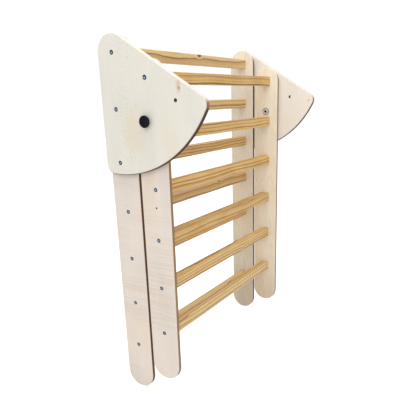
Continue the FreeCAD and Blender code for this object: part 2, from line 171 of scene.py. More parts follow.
def birch_plywood(name, node, ply_count, outer_face, inner_face, ripple, arch=None, stains=(), holes=(),
                  gap_shade=0.0):
    """Lacquered birch plywood: rotary veneer on the faces, and the plies along every cut edge.

    The veneers lie across Y, so their depth is read from the board that the finish is for. An arch is
    (middle, width) of the cathedral figure of a flat-cut veneer. Stains are (side, outer or inner face,
    x, z, half width, half height, strength, colour). Holes are (x, z, radius, depth share they start
    from, painted colour of the wall on the right side, and on the left side): painted shade inside the hole.
    All lengths are in mm.
    """
    finish = Finish(name, Specular_IOR_Level=0.3)
    low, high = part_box(node)
    inner = min(abs(low.y), abs(high.y)) / MM
    thickness = (high.y - low.y) / MM
    x, y, z = finish.parts(finish.times(finish.place(), 1000.0))
    side = finish.math("SIGN", y)
    depth = finish.math("DIVIDE", finish.math("SUBTRACT", finish.math("ABSOLUTE", y), inner), thickness)
    plies = finish.math("MULTIPLY", depth, ply_count)
    ply = finish.math("FLOOR", plies)
    within = finish.math("SUBTRACT", plies, ply)
    seed = finish.math("MULTIPLY_ADD", ply, 3.17, finish.math("MULTIPLY", side, 21.3))

    def grain(across, along, **settings):
        """Noise with so many turns per metre across the board and along it."""
        spot = finish.joined(finish.math("MULTIPLY", x, across / 1000), seed,
                             finish.math("MULTIPLY", z, along / 1000))
        return finish.noise(spot, **settings)

    # Veneer of the faces: broad figure, contour lines, fine fibres and the cross ripple of the knife.
    broad = grain(11.0, 3.0, detail=2.0, bend=0.5)
    figure = grain(34.0, 3.1, detail=3.0, rough=0.55, bend=0.4)
    rise = finish.math("MULTIPLY", figure, 11.0)
    if arch:
        middle, width = arch
        off = finish.math("SUBTRACT", x, middle)
        bow = finish.math("SUBTRACT", z, finish.math("DIVIDE", finish.math("MULTIPLY", off, off), width))
        wander = finish.math("MULTIPLY", grain(9.0, 8.0, detail=3.0, rough=0.5), 115.0)
        rise = finish.math("DIVIDE", finish.math("ADD", bow, wander), 11.5)
    contour = finish.math("FRACT", rise)
    line = finish.math("MULTIPLY", finish.step(contour, 0.45, 0.95), finish.step(contour, 1.0, 0.95))
    fibre = grain(1500.0, 45.0, detail=2.0)
    pores = finish.step(grain(900.0, 26.0, detail=1.0), 0.62, 0.80)
    waves = grain(6.0, 230.0, detail=1.0, rough=0.5, bend=0.3)
    outside = finish.step(depth, 0.45, 0.55)
    # Painted light: the inner faces get a paler, warmer veneer colour than the outer faces, for the warm
    # light that the rungs throw onto them.
    veneer = finish.mix(outside, paint(inner_face), paint(outer_face))
    tone = finish.scaled(broad, 0.3, 0.7, 0.955, 1.04)
    tone = finish.math("MULTIPLY", tone, finish.scaled(figure, 0.3, 0.7, 0.98, 1.02))
    etched = finish.scaled(outside, 0.0, 1.0, 0.92, 0.962 if arch else 0.985)
    tone = finish.math("MULTIPLY", tone, finish.scaled(line, 0.0, 1.0, 1.006, etched))
    tone = finish.math("MULTIPLY", tone, finish.scaled(fibre, 0.3, 0.7, 0.982, 1.014))
    tone = finish.math("MULTIPLY", tone, finish.scaled(pores, 0.0, 1.0, 1.0, 0.975))
    patches = finish.step(grain(5.0, 7.0, detail=1.0), 0.40, 0.60, 0.15, 1.0)
    patches = finish.math("MULTIPLY", patches, outside)
    rippled = finish.math("MULTIPLY", finish.scaled(waves, 0.40, 0.60, ripple, 0.0), patches)
    veneer = finish.shade(1.0, veneer, finish.joined(tone, tone, tone))
    veneer = finish.shade(rippled, veneer, paint("E6D8CA"))
    veneer = finish.shade(finish.step(broad, 0.48, 0.72, 0.0, 0.6), veneer, paint("F9F1E4"))
    # Painted shade: the inner faces are painted darker towards the feet.
    foot_shade = finish.math("MULTIPLY", finish.step(z, 260.0, 60.0, 0.0, 0.9),
                          finish.math("SUBTRACT", 1.0, outside))
    veneer = finish.shade(foot_shade, veneer, paint("E4DEDA"))

    # Small dark flecks, one here and there.
    drawn_out = finish.joined(x, y, finish.math("MULTIPLY", z, 0.6))
    flecks = finish.add("ShaderNodeTexVoronoi", {"Vector": drawn_out, "Scale": 0.017})
    fleck = finish.step(flecks, 0.034, 0.014, 0.0, 0.4)
    veneer = finish.mix(fleck, veneer, paint("A88A6C"))

    ragged = finish.scaled(grain(150.0, 60.0, detail=3.0), 0.3, 0.7, -0.35, 0.35)
    for board, face, across, up, half_width, half_height, strength, colour in stains:
        offset = finish.joined(finish.math("DIVIDE", finish.math("SUBTRACT", x, across), half_width), 0.0,
                               finish.math("DIVIDE", finish.math("SUBTRACT", z, up), half_height))
        reach = finish.math("ADD", finish.vector("LENGTH", offset), ragged)
        here = finish.math("COMPARE", side, {"right": -1.0, "left": 1.0}[board], 0.1)
        here = finish.math("MULTIPLY", here, finish.math("COMPARE", outside, float(face == "outer"), 0.3))
        there = finish.math("MULTIPLY", finish.step(reach, 1.0, 0.35, 0.0, strength), here)
        veneer = finish.mix(there, veneer, paint(colour))

    # Cut edges: plies with their grain along Z and across it take turns, with thin glue lines.
    # Edges that face up are painted palest, a painted highlight; a painted shade darkens the edge that meets
    # the other ladder, and another the edges that face down.
    crossed = finish.math("MODULO", ply, 2.0)
    nx, ny, nz = finish.parts(finish.facing())
    end_grain = finish.math("ABSOLUTE", finish.math("SUBTRACT", crossed, finish.math("MULTIPLY", nz, nz)))
    streak = finish.noise(finish.joined(finish.math("MULTIPLY", x, 0.26), finish.math("MULTIPLY", plies, 1.7),
                                        finish.math("MULTIPLY", z, 0.26)), detail=2.0)
    along = finish.mix(streak, paint("A88460"), paint("C9A981"))
    across = finish.mix(streak, paint("6A4833"), paint("8C674A"))
    edge = finish.mix(end_grain, along, across)
    glue = finish.math("MAXIMUM", finish.step(within, 0.10, 0.02), finish.step(within, 0.90, 0.98))
    edge = finish.mix(finish.math("MULTIPLY", glue, 0.55), edge, paint("54382A"))
    # Painted shade: the edge facing +X, in the narrow gap to the other ladder, is painted dark brown.
    edge = finish.mix(finish.step(nx, 0.3, 0.8, 0.0, gap_shade), edge, paint("5A3520"))
    # Painted highlight: edges that face up are painted nearly white.
    edge = finish.mix(finish.step(nz, 0.12, 0.62, 0.0, 0.86), edge, paint("EDE8E2"))
    # Painted shade: edges that face down are painted dark brown.
    edge = finish.mix(finish.step(nz, -0.10, -0.55, 0.0, 0.62), edge, paint("4A3122"))
    skin = 0.85 / ply_count
    on_face = finish.math("MAXIMUM", finish.step(depth, skin * 1.15, skin * 0.85),
                          finish.step(depth, 1.0 - skin * 1.15, 1.0 - skin * 0.85))
    colour = finish.mix(on_face, edge, veneer)
    if arch:
        # Painted shade: the lower rim of a plate is painted dark brown, for the shade where the plate meets
        # the uprights.
        rim_shade = finish.step(nz, -0.12, -0.55, 0.0, 0.86)
        colour = finish.mix(rim_shade, colour, paint("472A14"))
    # Painted shade: each hole's wall is painted its given dark colour, by the side it lies on.
    for across, up, radius, start, right, left in holes:
        from_axis = finish.vector("LENGTH", finish.joined(finish.math("SUBTRACT", x, across), 0.0,
                                                          finish.math("SUBTRACT", z, up)))
        dark = finish.math("MULTIPLY", finish.step(from_axis, radius + 0.25, radius + 0.05, 0.0, 0.9),
                           finish.step(depth, start - 0.04, start))
        wall = finish.mix(finish.math("MULTIPLY_ADD", side, 0.5, 0.5), paint(right), paint(left))
        colour = finish.mix(dark, colour, wall)

    rough = finish.scaled(fibre, 0.3, 0.7, 0.46, 0.58)
    rough = finish.math("ADD", rough, finish.math("MULTIPLY", finish.math("SUBTRACT", 1.0, on_face), 0.15))
    height = finish.math("ADD", finish.math("MULTIPLY", fibre, 0.5),
                         finish.math("MULTIPLY", finish.math("SUBTRACT", 1.0, on_face),
                                     finish.math("SUBTRACT", streak, glue)))
    height = finish.math("ADD", height, finish.math("MULTIPLY", waves, 0.8))
    return finish.surface(colour, rough, height, 0.00012)


# Knots of the bars: bar number, place in the bar (across, along, up), size of the dark core.
KNOTS = [
    (1, (14.0, 21.0, 14.0), 7.5),
    (15, (15.0, 110.0, -6.0), 1.5),
    (16, (-6.0, 60.0, 13.0), 3.0),
    (4, (15.0, 120.0, 13.0), 2.5),
]


RINGS_PER_MM = 0.118


def oiled_pine():
    """Square bars sawn from a log: year rings about each bar's own heart line, knots, fibres and oil."""
    finish = Finish("oiled_pine", Specular_IOR_Level=0.45)
    place = finish.times(finish.attribute("bar_place"), 1000.0)
    number = finish.attribute("bar_number", out=2)
    heart_x, heart_z, tone = finish.parts(finish.attribute("bar_heart"))
    x, y, z = finish.parts(place)
    shift = finish.math("MULTIPLY", number, 137.0)

    warp = finish.noise(finish.joined(finish.math("MULTIPLY", x, 0.010),
                                      finish.math("MULTIPLY_ADD", y, 0.0045, shift),
                                      finish.math("MULTIPLY", z, 0.010)), detail=2.0, rough=0.35)
    warp = finish.math("MULTIPLY", finish.math("SUBTRACT", warp, 0.5), 11.0)
    small = finish.noise(finish.joined(finish.math("MULTIPLY", x, 0.09),
                                       finish.math("MULTIPLY_ADD", y, 0.03, shift),
                                       finish.math("MULTIPLY", z, 0.09)), detail=2.0)
    small = finish.math("MULTIPLY", finish.math("SUBTRACT", small, 0.5), 1.0)
    from_heart = finish.vector("LENGTH", finish.joined(finish.math("SUBTRACT", x, heart_x), 0.0,
                                                       finish.math("SUBTRACT", z, heart_z)))
    reach = finish.math("ADD", finish.math("ADD", from_heart, warp), small)

    core = 0.0
    for bar, spot, size in KNOTS:
        here = finish.math("COMPARE", number, float(bar), 0.2)
        offset = finish.vector("SUBTRACT", place, spot)
        away = finish.vector("LENGTH", finish.vector("MULTIPLY", offset, (1.0, 0.8, 1.0)))
        push = finish.math("MULTIPLY", finish.step(away, 20.0, 0.0, 0.0, 4.5), here)
        reach = finish.math("ADD", reach, push)
        dark = finish.math("MULTIPLY", finish.step(away, size * 1.25, size * 0.7), here)
        core = finish.math("MAXIMUM", core, dark)

    spread = finish.noise(finish.joined(finish.math("MULTIPLY", reach, 0.12), shift, 0.0), detail=1.0)
    rings = finish.math("MULTIPLY_ADD", reach, RINGS_PER_MM, finish.math("MULTIPLY", spread, 1.6))
    ring = finish.math("FRACT", rings)
    late = finish.ramp(ring, [(0.0, paint("000000")), (0.40, paint("2A2A2A")), (0.70, paint("B4B4B4")),
                              (0.84, paint("FFFFFF")), (0.95, paint("FFFFFF")), (1.0, paint("000000"))])
    year = finish.noise(finish.joined(finish.math("FLOOR", rings), shift, 0.0), scale=3.1, detail=0.0)
    late = finish.math("MULTIPLY", late, finish.step(year, 0.25, 0.75, 0.55, 1.15), clamp=True)
    fibre = finish.noise(finish.joined(finish.math("MULTIPLY", x, 2.2),
                                       finish.math("MULTIPLY_ADD", y, 0.05, shift),
                                       finish.math("MULTIPLY", z, 2.2)), detail=3.0, rough=0.6)
    cloud = finish.noise(finish.joined(finish.math("MULTIPLY", x, 0.03),
                                       finish.math("MULTIPLY_ADD", y, 0.012, shift),
                                       finish.math("MULTIPLY", z, 0.03)), detail=2.0)

    early_wood = finish.mix(finish.step(cloud, 0.3, 0.7), paint("E8BA70"), paint("F0C982"))
    early_wood = finish.mix(finish.step(tone, 0.98, 1.08), early_wood, paint("E2C68E"))
    late_wood = finish.mix(finish.step(cloud, 0.3, 0.7), paint("8A4A12"), paint("A2601F"))
    colour = finish.mix(finish.math("MULTIPLY", late, 0.90), early_wood, late_wood)
    depth = finish.math("MULTIPLY", finish.scaled(fibre, 0.3, 0.7, 0.86, 1.08), tone)
    colour = finish.shade(1.0, colour, finish.joined(depth, depth, depth))
    colour = finish.mix(finish.math("MULTIPLY", core, 0.9), colour, paint("7C3418"))

    rough = finish.scaled(late, 0.0, 1.0, 0.48, 0.38)
    height = finish.math("ADD", finish.math("MULTIPLY", late, 0.6), finish.math("MULTIPLY", fibre, 0.4))
    return finish.surface(colour, rough, height, 0.00015)


def plated_steel(name, bright, dark, shade_colour, rough):
    """Turned and plated steel: fine lathe rings, handling marks, and painted shade, a dark colour laid where
    the section asks for it, as on the ring round a screw head.
    """
    finish = Finish(name, Metallic=1.0)
    place = finish.times(finish.attribute("turned_place"), 1000.0)
    radius, _, height = finish.parts(place)
    rings = finish.noise(finish.joined(finish.math("MULTIPLY", radius, 9.0), 0.0,
                                       finish.math("MULTIPLY", height, 9.0)), detail=2.0)
    marks = finish.noise(finish.place(), scale=400.0, detail=3.0)
    colour = finish.mix(finish.step(rings, 0.3, 0.7), paint(bright), paint(dark))
    low = finish.attribute("turned_shade", out=2)
    colour = finish.mix(low, colour, paint(shade_colour))
    return finish.surface(colour, finish.scaled(marks, 0.3, 0.7, rough - 0.06, rough + 0.10),
                          finish.math("ADD", rings, marks), 0.00004)


def moulded_plastic():
    """Satin black moulded plastic with a fine spark-eroded texture and a few rubbed spots."""
    finish = Finish("black_plastic", Specular_IOR_Level=0.12)
    place = finish.place()
    grain = finish.noise(place, scale=2600.0, detail=2.0)
    rubbed = finish.noise(place, scale=90.0, detail=3.0)
    colour = finish.mix(finish.step(rubbed, 0.4, 0.7), paint("0A0D13"), paint("131822"))
    rough = finish.math("ADD", finish.scaled(rubbed, 0.3, 0.7, 0.50, 0.40),
                        finish.math("MULTIPLY", grain, 0.08))
    return finish.surface(colour, rough, grain, 0.00006)


def studio_floor():
    """Pale floor that glows a little for the camera, so that it runs into the backdrop."""
    finish = Finish("studio_floor", Specular_IOR_Level=0.1)
    soft = finish.noise(finish.place(), scale=0.7, detail=1.0)
    colour = finish.mix(soft, paint("F6F6F6"), paint("FAFAFA"))
    finish.feed(finish.shader.inputs["Emission Color"], paint("FFFFFF"))
    seen = finish.add("ShaderNodeLightPath", out=0)
    finish.feed(finish.shader.inputs["Emission Strength"], finish.math("MULTIPLY", seen, FLOOR_GLOW))
    return finish.surface(colour, 0.9)


# ---------------------------------------------------------------- makers

def maker(name, inputs):
    """A Geometry Nodes tree with named inputs, and its bench."""
    tree = bpy.data.node_groups.new(name, "GeometryNodeTree")
    tree.interface.new_socket("Geometry", in_out="INPUT", socket_type="NodeSocketGeometry")
    tree.interface.new_socket("Geometry", in_out="OUTPUT", socket_type="NodeSocketGeometry")
    for label, kind in inputs:
        tree.interface.new_socket(label, in_out="INPUT", socket_type=kind)
    bench = Bench(tree)
    source = tree.nodes.new("NodeGroupInput")
    bench.given = {socket.name: socket for socket in source.outputs if socket.name}
    return bench


def deliver(bench, geometry):
    """Ends a maker's tree: instances realized, material set."""
    real = bench.add("GeometryNodeRealizeInstances", {0: geometry})
    done = bench.add("GeometryNodeSetMaterial", {"Geometry": real, "Material": bench.given["Material"]})
    end = bench.tree.nodes.new("NodeGroupOutput")
    bench.feed(end.inputs[0], done)
    return bench.tree


def sharpened(bench, mesh, angle):
    """Smooth shading, broken along every edge that is sharper than the angle."""
    smooth = bench.add("GeometryNodeSetShadeSmooth", {"Geometry": mesh, "Shade Smooth": True})
    bend = bench.add("GeometryNodeInputMeshEdgeAngle")
    sharp = bench.add("FunctionNodeCompare", {0: bend, 1: math.radians(angle)}, operation="GREATER_THAN")
    feeds = {"Geometry": smooth, "Selection": sharp, "Shade Smooth": False}
    return bench.add("GeometryNodeSetShadeSmooth", feeds, domain="EDGE")


def bar_row_maker():
    """Square bars with rounded edges and eased ends, hung one below the other."""
    bench = maker("bar_row", [
        ("Count", "NodeSocketInt"), ("First Number", "NodeSocketInt"), ("First Bar", "NodeSocketVector"),
        ("Pitch", "NodeSocketFloat"), ("Length", "NodeSocketFloat"), ("Side", "NodeSocketFloat"),
        ("Rounding", "NodeSocketFloat"), ("End Ease", "NodeSocketFloat"), ("Material", "NodeSocketMaterial")])
    given = bench.given
    square = bench.add("GeometryNodeCurvePrimitiveQuadrilateral", {"Width": given["Side"],
                                                                   "Height": given["Side"]})
    section = bench.add("GeometryNodeFilletCurve", {"Curve": square, "Radius": given["Rounding"], "Count": 7},
                        mode="POLY")
    half = bench.math("MULTIPLY", given["Length"], 0.5)
    line = bench.add("GeometryNodeCurvePrimitiveLine", {
        "Start": bench.joined(0.0, bench.math("MULTIPLY", half, -1.0), 0.0),
        "End": bench.joined(0.0, half, 0.0)})
    line = bench.add("GeometryNodeResampleCurve", {"Curve": line, "Count": 7})
    # The points next to the ends move out until the ease is all that lies past them.
    index = bench.add("GeometryNodeInputIndex")
    spot = bench.add("GeometryNodeInputPosition")
    near_end = bench.math("SUBTRACT", half, given["End Ease"])
    along = bench.parts(spot)[1]
    at_end = bench.math("ADD", bench.math("COMPARE", index, 0.0, 0.1),
                        bench.math("COMPARE", index, 6.0, 0.1))
    inner = bench.math("MULTIPLY", bench.math("SIGN", along), near_end)
    next_to = bench.math("ADD", bench.math("COMPARE", index, 1.0, 0.1),
                         bench.math("COMPARE", index, 5.0, 0.1))
    line = bench.add("GeometryNodeSetPosition", {"Geometry": line, "Selection": next_to,
                                                 "Position": bench.joined(0.0, inner, 0.0)})
    eased = bench.math("SUBTRACT", 1.0, bench.math("MULTIPLY", at_end, bench.math(
        "DIVIDE", bench.math("MULTIPLY", given["End Ease"], 2.0), given["Side"])))
    bar = bench.add("GeometryNodeCurveToMesh", {"Curve": line, "Profile Curve": section, "Scale": eased,
                                                "Fill Caps": True})
    bar = bench.add("GeometryNodeMergeByDistance", {"Geometry": bar, "Distance": 1e-6})
    bar = sharpened(bench, bar, 30.0)
    bar = bench.add("GeometryNodeStoreNamedAttribute", {
        "Geometry": bar, "Name": "bar_place", "Value": bench.add("GeometryNodeInputPosition")},
        data_type="FLOAT_VECTOR", domain="POINT")
    row = bench.add("GeometryNodeMeshLine", {
        "Count": given["Count"], "Start Location": given["First Bar"],
        "Offset": bench.joined(0.0, 0.0, bench.math("MULTIPLY", given["Pitch"], -1.0))})
    bars = bench.add("GeometryNodeInstanceOnPoints", {"Points": row, "Instance": bar})
    number = bench.math("ADD", bench.add("GeometryNodeInputIndex"), given["First Number"])
    bars = bench.add("GeometryNodeStoreNamedAttribute", {"Geometry": bars, "Name": "bar_number",
                                                         "Value": number},
                     data_type="FLOAT", domain="INSTANCE")
    return deliver(bench, bars)


def turned_row_maker():
    """Turns a half section about Z, cuts flats and thread where it asks for them, and sets out a row.

    The half section is a line of points (radius, 0, height). Its "flats" attribute draws the circle
    in to a hexagon, and "thread" is the depth of the thread there.
    """
    bench = maker("turned_row", [
        ("Steps", "NodeSocketInt"), ("Count", "NodeSocketInt"), ("First", "NodeSocketVector"),
        ("Spacing", "NodeSocketVector"), ("Turn", "NodeSocketVector"), ("Thread Pitch", "NodeSocketFloat"),
        ("Material", "NodeSocketMaterial")])
    given = bench.given
    section = given["Geometry"]
    rows = bench.add("GeometryNodeAttributeDomainSize", {0: section}, component="MESH")
    grid = bench.add("GeometryNodeMeshGrid", {"Vertices X": bench.math("ADD", given["Steps"], 1.0),
                                              "Vertices Y": rows})
    index = bench.add("GeometryNodeInputIndex")
    column = bench.math("FLOOR", bench.math("DIVIDE", bench.math("ADD", index, 0.5), rows))
    row = bench.math("SUBTRACT", index, bench.math("MULTIPLY", column, rows))

    def sample(value, kind):
        return bench.add("GeometryNodeSampleIndex", {"Geometry": section, "Value": value, "Index": row},
                         data_type=kind, domain="POINT")

    def stored(name):
        return bench.add("GeometryNodeInputNamedAttribute", {"Name": name}, data_type="FLOAT")

    radius, _, height = bench.parts(sample(bench.add("GeometryNodeInputPosition"), "FLOAT_VECTOR"))
    flats = sample(stored("flats"), "FLOAT")
    thread = sample(stored("thread"), "FLOAT")
    low = sample(stored("low"), "FLOAT")
    share = bench.math("DIVIDE", column, given["Steps"])
    angle = bench.math("MULTIPLY", share, 2.0 * math.pi)
    sixth = math.pi / 3.0
    past_corner = bench.math("SUBTRACT", bench.math("FLOORED_MODULO", bench.math("ADD", angle, 1e-6), sixth),
                             sixth / 2.0)
    hexagon = bench.math("DIVIDE", math.cos(sixth / 2.0), bench.math("COSINE", past_corner))
    drawn_in = bench.math("MULTIPLY_ADD", flats, bench.math("SUBTRACT", hexagon, 1.0), 1.0)
    turn = bench.math("SUBTRACT", bench.math("DIVIDE", height, given["Thread Pitch"]), share)
    wave = bench.math("PINGPONG", turn, 0.5)
    cut = bench.math("MULTIPLY", bench.math("MULTIPLY", wave, 2.0), thread)
    reach = bench.math("SUBTRACT", bench.math("MULTIPLY", radius, drawn_in), cut)
    spot = bench.joined(bench.math("MULTIPLY", reach, bench.math("COSINE", angle)),
                        bench.math("MULTIPLY", reach, bench.math("SINE", angle)), height)
    solid = bench.add("GeometryNodeSetPosition", {"Geometry": grid, "Position": spot})
    solid = bench.add("GeometryNodeStoreNamedAttribute", {
        "Geometry": solid, "Name": "turned_place", "Value": bench.joined(radius, 0.0, height)},
        data_type="FLOAT_VECTOR", domain="POINT")
    # The section's low value is stored as the share of painted shade.
    solid = bench.add("GeometryNodeStoreNamedAttribute", {
        "Geometry": solid, "Name": "turned_shade", "Value": low}, data_type="FLOAT", domain="POINT")
    solid = bench.add("GeometryNodeMergeByDistance", {"Geometry": solid, "Distance": 2e-6})
    solid = sharpened(bench, solid, 38.0)
    solid = bench.add("GeometryNodeTransform", {"Geometry": solid, "Rotation": given["Turn"]})
    line = bench.add("GeometryNodeMeshLine", {"Count": given["Count"], "Start Location": given["First"],
                                              "Offset": given["Spacing"]})
    parts = bench.add("GeometryNodeInstanceOnPoints", {"Points": line, "Instance": solid})
    return deliver(bench, parts)


def carry_out(name, tree, sizes, source=None):
    """Runs a maker's tree on an object and returns its result as a plain mesh object."""
    work = bpy.data.objects.new(name, source or bpy.data.meshes.new(name))
    bpy.context.scene.collection.objects.link(work)
    modifier = work.modifiers.new(tree.name, "NODES")
    modifier.node_group = tree
    for item in tree.interface.items_tree:
        if item.in_out == "INPUT" and item.name in sizes:
            modifier[item.identifier] = sizes[item.name]
    made = work.evaluated_get(bpy.context.evaluated_depsgraph_get())
    mesh = bpy.data.meshes.new_from_object(made)
    work.modifiers.remove(modifier)
    work.data = mesh
    mesh.name = name
    return work


def fit(piece, body, slot, *nodes):
    """Seats a finished piece on its body, in place of its CAD nodes."""
    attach(piece, body)
    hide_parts(*nodes)
    return piece


# ---------------------------------------------------------------- rungs

# Heart line of each bar, in mm across and up from its axis, and the tone of its wood.
HEARTS_A = [
    (-64, -30, 1.10),
    (-30, 60, 1.13),
    (34, -52, 1.02),
    (-52, -46, 1.05),
    (-26, 52, 1.02),
    (-40, -44, 1.08),
    (34, -48, 1.20),
]
HEARTS_B = [
    (-14, -56, 0.91),
    (-22, 50, 0.91),
    (-34, -52, 0.97),
    (-52, -40, 0.92),
    (-16, -62, 1.03),
    (-50, -46, 1.16),
]
# Bars are numbered through, ladder B's from here on, as in the list of knots.
FIRST_BAR_A = 1
FIRST_BAR_B = 11
BAR_ROUNDING = 3.0 * MM
BAR_END_EASE = 0.5 * MM


def make_rungs(letter, first_number, hearts, tree, material):
    """All bars of one ladder in one piece, each with its own heart line."""
    count = len(hearts)
    names = [f"rung_{letter}_{i}" for i in range(1, count + 1)]
    low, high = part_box(names[0])
    next_low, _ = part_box(names[1])
    row = carry_out(f"rungs_{letter}", tree, {
        "Count": count, "First Number": first_number, "First Bar": (low + high) / 2,
        "Pitch": low.z - next_low.z, "Length": high.y - low.y, "Side": high.x - low.x,
        "Rounding": BAR_ROUNDING, "End Ease": BAR_END_EASE, "Material": material})
    mesh = row.data
    numbers = mesh.attributes["bar_number"].data
    heart = mesh.attributes.new("bar_heart", "FLOAT_VECTOR", "POINT").data
    for number, spot in zip(numbers, heart):
        spot.vector = hearts[round(number.value) - first_number]
    return fit(row, f"ladder_{letter}", "oiled_pine", *names)


# ---------------------------------------------------------------- turned parts

M8_PITCH = 1.25
NO_THREAD = 1.0
WOOD_SCREW_PITCH = 2.5
SOCKET_ACROSS_FLATS = 4.0
WASHER_THICKNESS = 0.9
TEE_NUT_LENGTH = 12.5


def half_section(name, points):
    """A line of section points: (radius, height, flats, thread depth, share of painted shade), all lengths in
    mm.
    """
    mesh = bpy.data.meshes.new(name)
    spots = [(radius * MM, 0.0, height * MM) for radius, height, *_ in points]
    mesh.from_pydata(spots, [(i, i + 1) for i in range(len(spots) - 1)], [])
    for column, label in ((2, "flats"), (3, "thread"), (4, "low")):
        scale = MM if label == "thread" else 1.0
        values = [point[column] * scale for point in points]
        mesh.attributes.new(label, "FLOAT", "POINT").data.foreach_set("value", values)
    return mesh


def threaded(radius, start, end, depth, step):
    """Section points along a threaded length, running from height start down to end."""
    count = max(2, round(abs(end - start) / step))
    points = []
    for i in range(count + 1):
        ends = min(1.0, i / 3.0, (count - i) / 3.0)
        points.append((radius, start + (end - start) * i / count, 0.0, depth * ends, 0.35))
    return points


def wood_screw_section(length, head):
    """Countersunk head with a hexagon socket, plain neck, coarse thread and point.

    Height 0 is the head's top, and head is its radius.
    """
    socket = SOCKET_ACROSS_FLATS / 2 / math.cos(math.pi / 6)
    # The last number of each point is its share of painted shade: it is highest on the outer ring of the
    # head, painting the shade of the recess round it.
    points = [
        (0.0, -2.4, 0.0, 0.0, 0.0), (1.2, -2.4, 0.0, 0.0, 0.0),
        (socket - 0.25, -2.25, 1.0, 0.0, 0.1), (socket, -2.0, 1.0, 0.0, 0.3),
        (socket, -0.35, 1.0, 0.0, 0.1), (socket + 0.3, -0.05, 0.7, 0.0, 0.0),
        (socket + 0.45, 0.0, 0.0, 0.0, 0.2), (head - 2.5, 0.0, 0.0, 0.0, 0.9),
        (head - 0.7, -0.06, 0.0, 0.0, 1.0), (head - 0.25, -0.22, 0.0, 0.0, 0.9),
        (head, -0.6, 0.0, 0.0, 0.9), (head, -0.95, 0.0, 0.0, 1.0),
        (3.0, -3.4, 0.0, 0.0, 0.6), (3.0, -8.0, 0.0, 0.0, 0.4), (2.95, -24.0, 0.0, 0.0, 0.4),
    ]
    points += threaded(2.98, -24.3, -(length - 7.0), 0.85, 0.62)
    points += [(2.1, -(length - 4.5), 0.0, 0.3, 0.4), (1.0, -(length - 1.8), 0.0, 0.0, 0.4),
               (0.0, -length, 0.0, 0.0, 0.4)]
    return points


def make_screws(name, body, node, count, tree, material):
    """A row of wood screws, their heads outwards, where the CAD row stands."""
    low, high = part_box(node)
    side = 1.0 if high.y > 0 else -1.0
    face = side * max(abs(low.y), abs(high.y))
    head = (high.x - low.x) / 2
    middle = (low.x + high.x) / 2
    top = high.z - head
    pitch = (high.z - low.z - 2 * head) / (count - 1) if count > 1 else 0.0
    length = (high.y - low.y) / MM
    row = carry_out(name, tree, {
        "Steps": 24, "Count": count, "First": (middle, face, top), "Spacing": (0.0, 0.0, -pitch),
        "Turn": (-side * math.pi / 2, 0.0, 0.0), "Thread Pitch": WOOD_SCREW_PITCH * MM, "Material": material},
        half_section(name, wood_screw_section(length, head / MM)))
    return fit(row, body, "zinc_steel", node)


def make_turned(name, body, slot, node, section, steps, thread_pitch, tree, material, outer=True):
    """One turned part on the node's own axis; height 0 of its section is the node's outer (or inner) end."""
    low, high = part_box(node)
    side = 1.0 if high.y > 0 else -1.0
    ends = sorted((abs(low.y), abs(high.y)))
    start = side * (ends[1] if outer else ends[0])
    way = side if outer else -side
    middle = (low + high) / 2
    part = carry_out(name, tree, {
        "Steps": steps, "Count": 1, "First": (middle.x, start, middle.z), "Spacing": (0.0, 0.0, 0.0),
        "Turn": (-way * math.pi / 2, 0.0, 0.0), "Thread Pitch": thread_pitch * MM, "Material": material},
        half_section(name, section))
    return fit(part, body, slot, node)


def cap_section():
    """Low black cap: shallow dished face, eased rim, bevelled skirt, and the boss round the stud."""
    rows = [(0.0, -0.45), (5.0, -0.42), (9.0, -0.32), (10.6, -0.22), (11.0, -0.05), (11.4, 0.0),
            (12.0, 0.0), (12.5, -0.12), (13.5, -0.95), (14.15, -1.75), (14.45, -2.5), (14.5, -3.3),
            (14.5, -5.1), (14.3, -5.65), (13.8, -5.92), (9.0, -5.92), (8.6, -5.6), (4.6, -5.6),
            (4.05, -5.92), (4.0, -5.85), (4.0, -2.0), (0.0, -2.0)]
    return [(radius, height, 0.0, 0.0, 0.0) for radius, height in rows]


def stud_section(length):
    """Threaded stud with chamfered ends."""
    points = [(0.0, 0.0, 0.0, 0.0, 0.2), (3.2, 0.0, 0.0, 0.0, 0.2), (3.97, -0.8, 0.0, 0.0, 0.3)]
    points += threaded(3.98, -0.9, -(length - 0.9), 0.62, 0.21)
    points += [(3.2, -length + 0.05, 0.0, 0.0, 0.2), (0.0, -length, 0.0, 0.0, 0.2)]
    return points


def nut_section(length):
    """Tee nut: dished flange against the wood's inner face, rolled collar, and a threaded barrel."""
    # The last number of each flange point is its share of painted shade, highest at the rim; the threaded
    # bore is painted dark all through.
    flange = [(4.25, 0.0, 0.3), (4.9, 0.25, 0.0), (5.6, 0.12, 0.0), (6.4, -0.25, 0.2),
              (7.2, -0.45, 0.1), (9.0, -0.5, 0.0), (10.0, -0.42, 0.0), (10.5, -0.25, 0.8),
              (11.6, -0.5, 1.0), (12.0, -0.9, 1.0), (11.9, -1.35, 0.8), (11.5, -1.5, 0.9),
              (5.6, -1.5, 0.6), (5.2, -1.9, 0.5)]
    points = [(radius, height - 0.25, 0.0, 0.0, low) for radius, height, low in flange]
    points += [(5.2, -length, 0.0, 0.0, 0.4), (4.5, -length, 0.0, 0.0, 0.4)]
    bore = threaded(4.45, -(length - 0.3), -0.6, 0.38, 0.21)
    points += [(radius, height, flats, depth, 1.0) for radius, height, flats, depth, _ in bore]
    points.append((4.25, -0.25, 0.0, 0.0, 0.8))
    return points


def washer_section(thickness):
    """Thin washer with eased edges."""
    outer, inner = 11.0, 3.1
    rows = [(inner, -0.15), (inner + 0.15, 0.0), (outer - 0.25, 0.0), (outer, -0.25),
            (outer, -thickness + 0.2), (outer - 0.2, -thickness), (inner + 0.15, -thickness),
            (inner, -thickness + 0.15), (inner, -0.15)]
    return [(radius, height, 0.0, 0.0, 0.1) for radius, height in rows]


# ---------------------------------------------------------------- camera, light and floor

